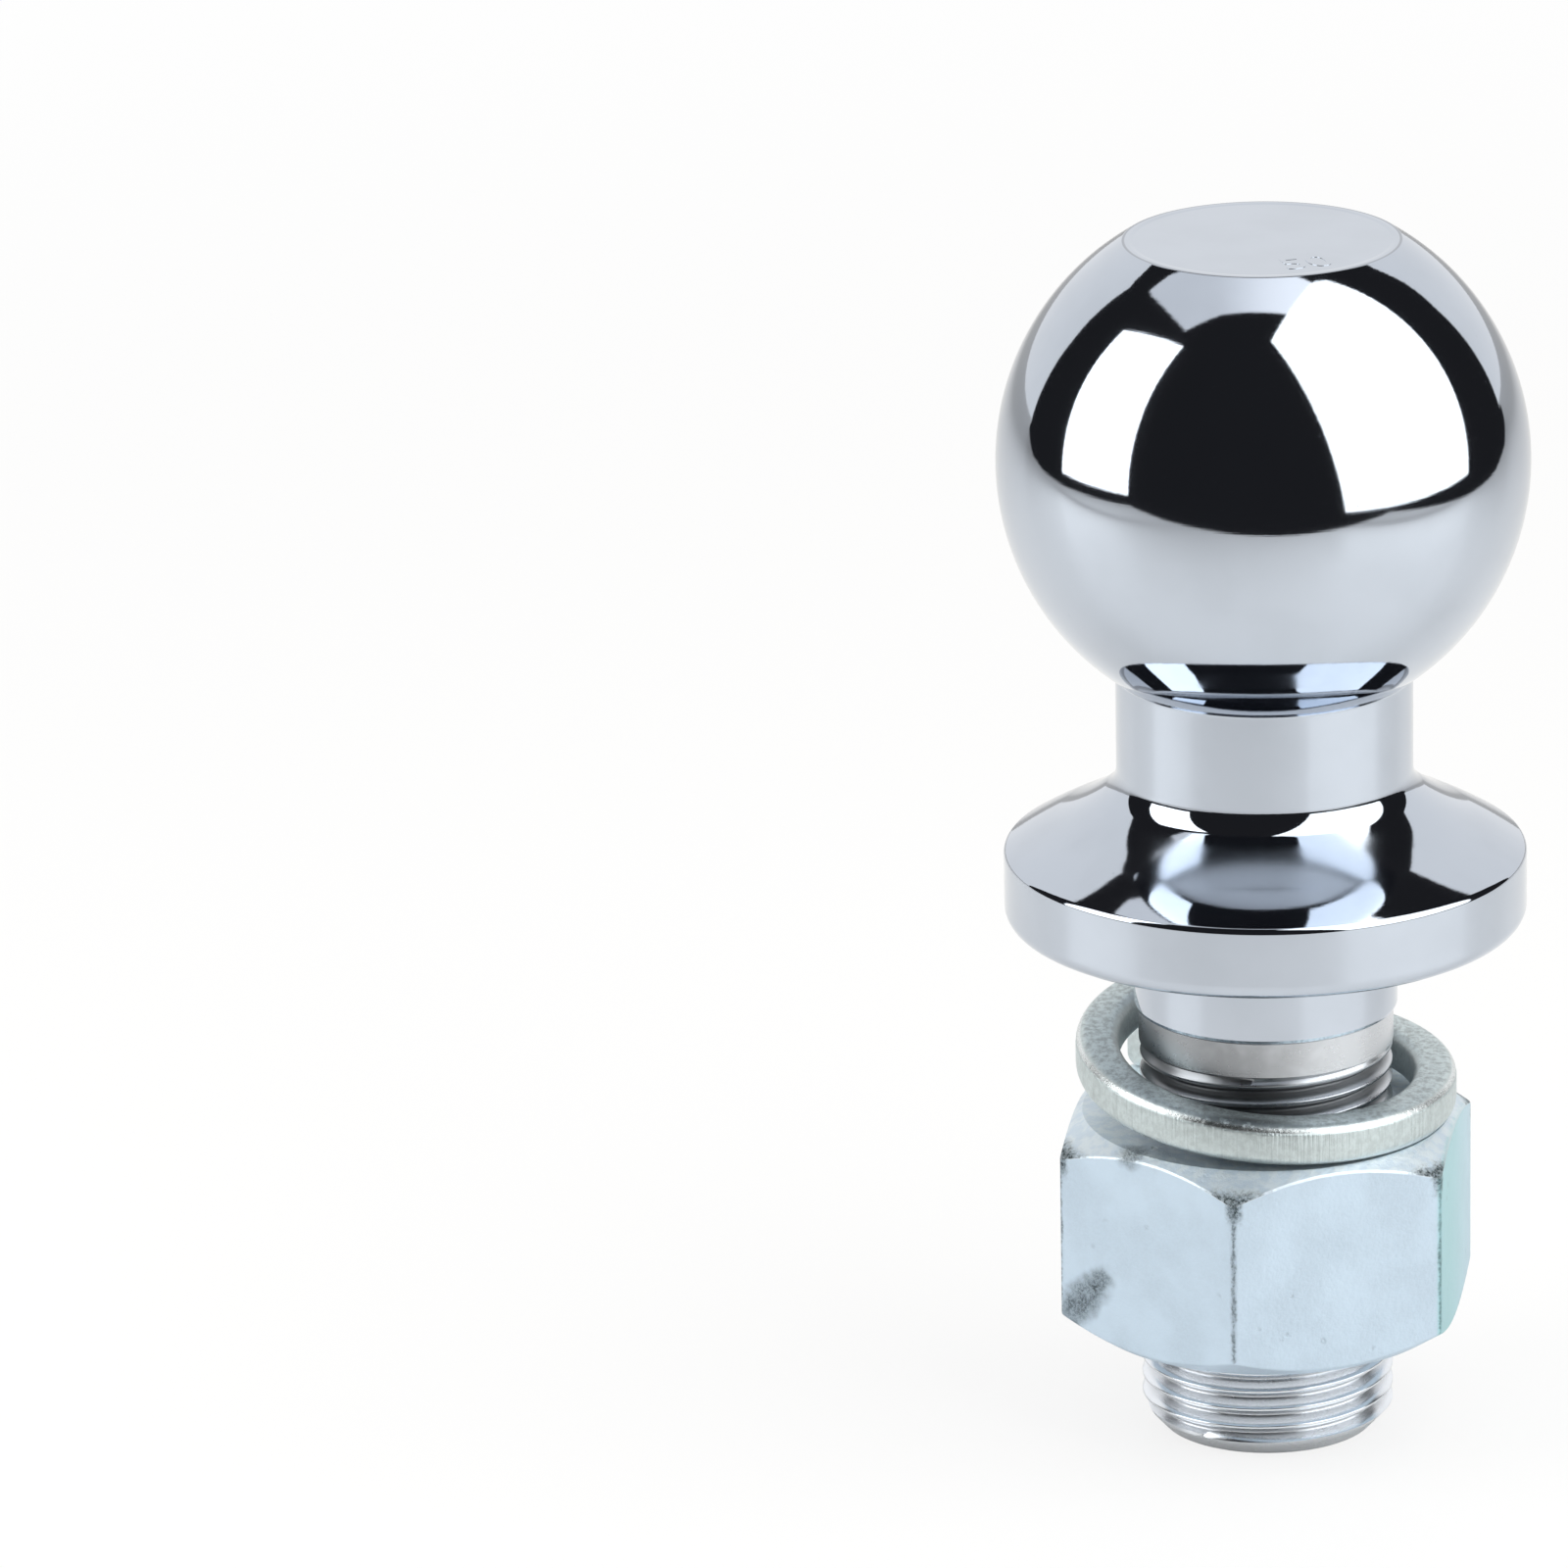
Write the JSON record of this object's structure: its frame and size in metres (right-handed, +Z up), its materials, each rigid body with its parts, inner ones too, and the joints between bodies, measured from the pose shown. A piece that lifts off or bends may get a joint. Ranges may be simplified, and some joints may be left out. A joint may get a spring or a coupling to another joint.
{
  "type": "tow ball",
  "caption": "Chromed trailer tow ball with a flat top, neck, dished flange and threaded shank, with its spring lock washer and hexagon nut on the thread.",
  "frame": {"origin": "centre of the shank's end face, on which the part stands", "axes": "+Z up along the shank's axis towards the ball; -Y is the side that the picture shows, +X is to the right in it"},
  "size_m": [0.05, 0.05, 0.1172],
  "materials": {
    "chrome": "bright chrome plate on the ball, neck, flange and plain shank, bare steel on the blank and thread",
    "zinc_nut": "pale blue zinc plate with small dents",
    "zinc_washer": "mottled grey-green zinc plate, bright on the rounded edges"
  },
  "bodies": {
    "tow_ball": {"tow_ball": "chrome"},
    "washer": {"spring_washer": "zinc_washer"},
    "nut": {"hex_nut": "zinc_nut"}
  },
  "joints": [
    {"name": "washer_slide", "type": "slide", "parent": "tow_ball", "child": "washer", "axis": [0, 0, 1], "range_m": [-0.0109, 0.007]},
    {"name": "nut_turn", "type": "hinge", "parent": "washer", "child": "nut", "pos_m": [0, 0, 0.02115], "axis": [0, 0, 1], "range_deg": [-2160, 1388]}
  ],
  "couplings": [
    {"joint": "washer_slide", "follows": "nut_turn", "m_per_rad": 0.00028871}
  ]
}
